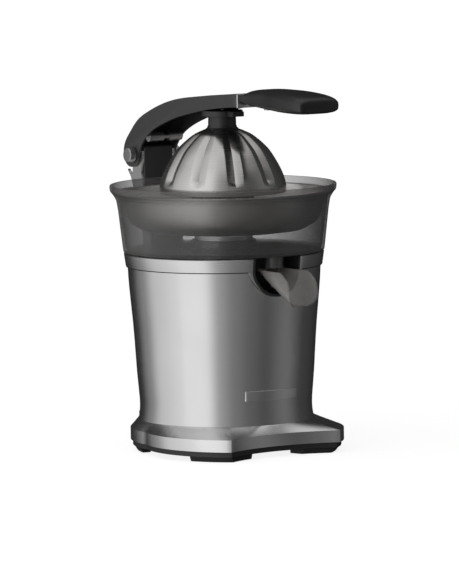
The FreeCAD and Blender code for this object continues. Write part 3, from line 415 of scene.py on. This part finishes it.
# ---- arm --------------------------------------------------------------------
softened("press_arm", "arm_casting", 1.6, arm_paint, "grey_paint")
softened("trim_band", "grip_band", 0.4, polished, "polished_steel")
softened("dome_socket", "dome_seat", 0.6, dark_plastic, "dark_plastic")
softened("hinge_pin", "pin_heads", 0.7, pin_steel, "polished_steel")


def grip_mesh():
    """Paddle with a crowned top, full sides and a blunt rounded end."""
    low_corner = lowest("handle_grip")
    high_corner = highest("handle_grip")
    length = high_corner.y - low_corner.y
    half = high_corner.x
    low, high = low_corner.z, high_corner.z
    root = half * 0.735
    # share of the length from the arm, half width, underside, top
    stations = [(0.0, root, low + 8.1, high - 6.7), (0.03, root + 0.5, low + 7.0, high - 4.2),
                (0.12, root + 1.0, low + 5.6, high - 1.4), (0.25, root + 2.2, low + 4.4, high - 0.2),
                (0.42, half * 0.87, low + 3.2, high), (0.60, half * 0.97, low + 2.2, high - 0.4),
                (0.78, half, low + 1.8, high - 1.6), (0.90, half * 0.98, low + 2.0, high - 3.2),
                (0.965, half * 0.92, low + 2.8, high - 5.0), (0.99, half * 0.84, low + 4.4, high - 7.0),
                (1.0, half * 0.70, low + 7.2, high - 9.6)]
    # powers of the section's curve: the smaller, the squarer
    side_power = 0.55
    top_power = 0.75
    under_power = 0.5
    around = 64
    along = 80
    data = bmesh.new()
    rows = []
    for step in range(along + 1):
        share, wide, bottom, top = spline(stations, step / along)
        middle = (bottom + top) / 2
        tall = (top - bottom) / 2
        row = []
        for index in range(around):
            theta = 2 * math.pi * index / around
            c, s = math.cos(theta), math.sin(theta)
            x = wide * math.copysign(abs(c) ** side_power, c)
            z = middle + tall * math.copysign(abs(s) ** (top_power if s > 0 else under_power), s)
            row.append(data.verts.new((x * MM, (high_corner.y - length * share) * MM, z * MM)))
        rows.append(row)
    bridged(data, rows)
    data.faces.new(rows[0])
    data.faces.new(rows[-1])
    return finished(data, "grip_pad", 50.0)


shown("grip_pad", grip_mesh(), grip_rubber, "arm", "soft_black", "handle_grip")

# ---- dome -------------------------------------------------------------------
dome_low = lowest("press_dome").z
dome_high = highest("press_dome").z
dome_radius = highest("press_dome").x
dome_tall = dome_high - dome_low
dome_wall = 1.2
# the dome's profile from its rim up, as shares of its radius and height
dome_shares = [(1.0, 0.0), (1.0, 0.10), (0.955, 0.27), (0.865, 0.46), (0.715, 0.69), (0.50, 0.885),
               (0.35, 0.965), (0.262, 1.0)]
flute_count = 10
# one valley stands this far round from the camera, in degrees
flute_from_camera = 12.0
flute_first = math.radians(camera_side + flute_from_camera)
flute_deepest = 3.0
flute_half = math.radians(8.5)


def flute_depth(theta, share):
    """How far a V-shaped valley pulls the dome's surface in."""
    pitch = 2 * math.pi / flute_count
    offset = (theta - flute_first + pitch / 2) % pitch - pitch / 2
    swell = max(0.0, min(1.0, (share - 0.13) / 0.10)) * (1.0 - 0.25 * share)
    half = flute_half * (0.8 + 0.5 * share)
    valley = max(0.0, 1.0 - abs(offset) / half)
    return flute_deepest * swell * valley


def dome_mesh():
    """Thin fluted cup, open below, with a hole at the top for the neck."""
    rows = 72
    outline = []
    for step in range(rows + 1):
        r, z = spline(dome_shares, step / rows)
        outline.append((min(r, 1.0) * dome_radius, dome_low + min(z, 1.0) * dome_tall))
    inner = []
    for r, z in reversed(outline):
        inner.append((r - dome_wall, z - dome_wall * (z - dome_low) / dome_tall))

    def reach(r, z, theta):
        share = (z - dome_low) / dome_tall
        return r - flute_depth(theta, share) * min(1.0, (r / dome_radius) * 1.6)

    return lathed("dome_shell", outline + inner, 480, reach, 16.0)


shown("dome_shell", dome_mesh(), dome_steel, "arm", "brushed_steel", "press_dome")

# ---- bowl -------------------------------------------------------------------
bowl_low = highest("top_collar").z + 0.5
bowl_high = highest("juice_bowl").z
rim = highest("juice_bowl").x
hub = highest("hub_cap").x
floor_radius = rim - 12.0
wall_top = rim - 6.0
wall = 2.2
bowl_floor = 2.5
hub_wall_high = 10.5
rim_low = bowl_high - 8.0
bowl_outline = [
    (hub + 0.8, bowl_low), (floor_radius, bowl_low), (floor_radius + 0.4, bowl_low + 3),
    (wall_top - 1.6, rim_low - 15), (wall_top, rim_low - 5.5), (wall_top + 3.4, rim_low),
    (rim - 0.4, rim_low + 2.2), (rim, bowl_high - 0.8), (rim - 0.8, bowl_high),
    (rim - wall, bowl_high), (rim - wall, rim_low + 0.4), (wall_top + 1.6, rim_low),
    (wall_top - wall, rim_low - 4.5), (floor_radius - wall, bowl_low + bowl_floor),
    (hub + 3, bowl_low + bowl_floor), (hub + 3, bowl_low + hub_wall_high),
    (hub + 0.8, bowl_low + hub_wall_high)]
shown("bowl_wall", lathed("bowl_wall", rounded(bowl_outline, 2.2), 192), bowl_smoke, "base", "smoke_clear",
      "juice_bowl")


def joint_place(name):
    """Where a joint's axis is, in millimetres."""
    for joint in frame["joints"]:
        if joint["name"] == name:
            return Vector(joint["pos_m"]) / MM
    raise ValueError("no joint " + name)


spout_pin = joint_place("spout_tilt")


def outlet_mesh():
    """Outlet tube and the two ears that carry the spout."""
    centre_y = -82.5
    # the tube's wall, as radius and height over the bowl's underside
    tube = [(8.0, 0.2), (8.0, -9.4), (7.6, -10), (6.8, -10), (6.4, -9.4), (6.4, 0.2)]
    around = 48
    ear_radius = 4
    ear_thick = 2.5
    ear_half = highest("spout_chute").x + 0.3
    data = bmesh.new()
    rows = []
    for r, rise in tube:
        row = []
        for step in range(around):
            theta = 2 * math.pi * step / around
            x, y = r * math.cos(theta), centre_y + r * math.sin(theta)
            row.append(data.verts.new((x * MM, y * MM, (bowl_low + rise) * MM)))
        rows.append(row)
    bridged(data, rows + rows[:1])
    turns = [math.radians(angle) for angle in range(0, -181, -15)]
    ear = [(spout_pin.y + ear_radius, bowl_low)]
    ear += [(spout_pin.y + ear_radius * math.cos(a), spout_pin.z + ear_radius * math.sin(a)) for a in turns]
    ear += [(spout_pin.y - ear_radius, bowl_low)]
    for side in (-1, 1):
        faces = []
        for x in (side * ear_half, side * (ear_half + ear_thick)):
            faces.append([data.verts.new((x * MM, y * MM, z * MM)) for y, z in ear])
            data.faces.new(faces[-1])
        bridged(data, faces)
    return finished(data, "bowl_outlet", 30.0)


shown("bowl_outlet", outlet_mesh(), bowl_smoke, "base", "smoke_clear")


# ---- spout ------------------------------------------------------------------
spout_slope = math.radians(26.6)
spout_back = highest("spout_chute").y
spout_front = lowest("spout_chute").y
spout_top = highest("spout_chute").z
spout_wall = 1.8
spout_floor_below_pin = 1.5
# the lip's outline: height over the floor, and how far it stays behind the spout's front
spout_lip = [(0.0, 10.0), (2.3, 5.4), (6.0, 2.4), (10.0, 0.8), (14.8, 0.4), (19.0, 1.6), (22.0, 4.0),
             (23.6, 7.4), (24.0, 11.5)]


def lip_place(height):
    """The lip's place along Y at a height over the floor."""
    for (low, near), (high, far) in zip(spout_lip, spout_lip[1:]):
        if height <= high:
            return spout_front + near + (far - near) * (height - low) / (high - low)
    return spout_front + spout_lip[-1][1]


def spout_section():
    """U-shaped section from one edge to the other, as (x, height over the floor)."""
    half = highest("spout_chute").x - spout_wall / 2
    quarter = math.pi / 2 * half
    upright = spout_lip[-1][0] - half
    steps = 24
    points = []
    for step in range(steps + 1):
        run = step / steps * (quarter + upright)
        if run < quarter:
            points.append((half * math.sin(run / half), half * (1 - math.cos(run / half))))
        else:
            points.append((half, run - quarter + half))
    return [(-x, height) for x, height in reversed(points[1:])] + points


def spout_mesh():
    """Round-bottomed channel that slopes forward and ends in a rounded lip."""
    steep = math.tan(spout_slope)
    floor_at_pin = spout_pin.z - spout_floor_below_pin + spout_wall / 2
    along = 40
    data = bmesh.new()
    rows = []
    for x, height in spout_section():
        lift = floor_at_pin + height / math.cos(spout_slope)
        start = min(spout_back, spout_pin.y + (spout_top - lift) / steep)
        end = lip_place(height)
        row = []
        for step in range(along + 1):
            y = start + (end - start) * step / along
            z = lift + (y - spout_pin.y) * steep
            row.append(data.verts.new((x * MM, y * MM, z * MM)))
        rows.append(row)
    bridged(data, rows, closed=False)
    return finished(data, "spout_channel", 60.0)


def thicken(piece):
    """Gives a sheet its wall and takes the sharpness off its edges."""
    shell = piece.modifiers.new("wall", "SOLIDIFY")
    shell.thickness = spout_wall * MM
    shell.offset = 0.0
    edge = piece.modifiers.new("edge", "BEVEL")
    edge.width = 0.5 * MM
    edge.segments = 2
    edge.limit_method = "ANGLE"


# the channel takes the lightened smoke plastic, a painted highlight
thicken(shown("spout_channel", spout_mesh(), spout_smoke_painted_highlight, "spout", "smoke_clear", "spout_chute"))

# ---- strainer and reamer ----------------------------------------------------
softened("strainer", "basket", 0.15, basket_steel, "brushed_steel")
softened("reamer_cone", "squeeze_cone", 0.6, dark_plastic, "dark_plastic")

# ---- stage, light and camera ------------------------------------------------
def stage_mesh():
    """Large flat floor at the table's height."""
    far = 40.0
    data = bmesh.new()
    corners = [(-far, -far), (far, -far), (far, far), (-far, far)]
    data.faces.new([data.verts.new((x, y, 0.0)) for x, y in corners])
    mesh = bpy.data.meshes.new("floor")
    data.to_mesh(mesh)
    data.free()
    return mesh


floor_material, _, floor_shader = node_material("studio_floor")
floor_shader.inputs["Base Color"].default_value = (0.30, 0.30, 0.30, 1)
floor_shader.inputs["Roughness"].default_value = 0.9
floor_shader.inputs["Specular IOR Level"].default_value = 0.0
floor_shader.inputs["Emission Color"].default_value = (1, 1, 1, 1)
floor_shader.inputs["Emission Strength"].default_value = 0.86
floor_piece = bpy.data.objects.new("studio_floor", stage_mesh())
floor_piece.data.materials.append(floor_material)
scene.collection.objects.link(floor_piece)
floor_piece.visible_glossy = False
floor_piece.visible_diffuse = False

# the studio's brightness round the object: turn from the camera's side, brightness
room_light = [(-170, 0.02), (-145, 0.04), (-118, 0.30), (-92, 0.80), (-60, 0.98), (-26, 1.12), (-6, 0.42),
              (12, 0.24), (34, 0.15), (52, 0.10), (84, 0.20), (118, 0.06), (170, 0.02)]
overhead_light = 0.80


def room_ramp(sky, split):
    """Brightness that follows the compass direction, from room_light."""
    azimuth = sky.nodes.new("ShaderNodeMath")
    azimuth.operation = "ARCTAN2"
    sky.links.new(split.outputs["Y"], azimuth.inputs[0])
    sky.links.new(split.outputs["X"], azimuth.inputs[1])
    turn = sky.nodes.new("ShaderNodeMapRange")
    turn.inputs["From Min"].default_value = -math.pi
    turn.inputs["From Max"].default_value = math.pi
    sky.links.new(azimuth.outputs["Value"], turn.inputs["Value"])
    ramp = sky.nodes.new("ShaderNodeValToRGB")
    ramp.color_ramp.interpolation = "EASE"
    sky.links.new(turn.outputs["Result"], ramp.inputs["Fac"])
    stops = sorted((((camera_side + angle + 180.0) / 360.0) % 1.0, level) for angle, level in room_light)
    elements = ramp.color_ramp.elements
    while len(elements) > 1:
        elements.remove(elements[-1])
    elements[0].position = stops[0][0]
    elements[0].color = (*grey(stops[0][1]), 1)
    for place, level in stops[1:]:
        elements.new(place).color = (*grey(level), 1)
    return ramp.outputs["Color"]


def overhead_share(sky, split):
    """How far a direction belongs to the soft light overhead, from 0 to 1."""
    overhead = sky.nodes.new("ShaderNodeMapRange")
    overhead.inputs["From Min"].default_value = 0.55
    overhead.inputs["From Max"].default_value = 1.0
    overhead.interpolation_type = "SMOOTHSTEP"
    sky.links.new(split.outputs["Z"], overhead.inputs["Value"])
    return overhead.outputs["Result"]


def socket(sockets, identifier):
    """A Mix node repeats its socket names for each data type, so this goes by identifier."""
    return next(one for one in sockets if one.identifier == identifier)


def light_studio():
    """World that carries the room's brightness and the light overhead."""
    world = bpy.data.worlds.new("studio")
    scene.world = world
    world.use_nodes = True
    sky = world.node_tree
    background = sky.nodes["Background"]
    direction = sky.nodes.new("ShaderNodeTexCoord")
    split = sky.nodes.new("ShaderNodeSeparateXYZ")
    sky.links.new(direction.outputs["Generated"], split.inputs["Vector"])
    blend = sky.nodes.new("ShaderNodeMix")
    blend.data_type = "RGBA"
    sky.links.new(overhead_share(sky, split), blend.inputs["Factor"])
    sky.links.new(room_ramp(sky, split), socket(blend.inputs, "A_Color"))
    socket(blend.inputs, "B_Color").default_value = (*grey(overhead_light), 1)
    sky.links.new(socket(blend.outputs, "Result_Color"), background.inputs["Color"])
    background.inputs["Strength"].default_value = 1.0


def camera_place():
    """The photograph's viewing angle on the object."""
    turn, lift, roll = (math.radians(angle) for angle in (photo_turn, photo_lift, photo_roll))
    distance = 5.0
    aim_height = 0.150
    aim_right = 0.00467
    aim_up = 0.00321
    back = Vector((-math.sin(turn) * math.cos(lift), -math.cos(turn) * math.cos(lift), math.sin(lift)))
    right = Vector((math.cos(turn), -math.sin(turn), 0))
    up = back.cross(right)
    across = right * math.cos(roll) - up * math.sin(roll)
    upright = right * math.sin(roll) + up * math.cos(roll)
    target = Vector((0, 0, aim_height)) + across * aim_right + upright * aim_up
    place = Matrix((across, upright, back)).transposed().to_4x4()
    place.translation = target + back * distance
    return place


light_studio()
camera_data = bpy.data.cameras.new("camera")
camera_data.sensor_width = 36.0
camera_data.sensor_fit = "AUTO"
camera_data.lens = 349.034
camera_data.clip_end = 200.0
camera = bpy.data.objects.new("camera", camera_data)
scene.collection.objects.link(camera)
camera.matrix_world = camera_place()
scene.camera = camera
scene.view_settings.view_transform = "Standard"
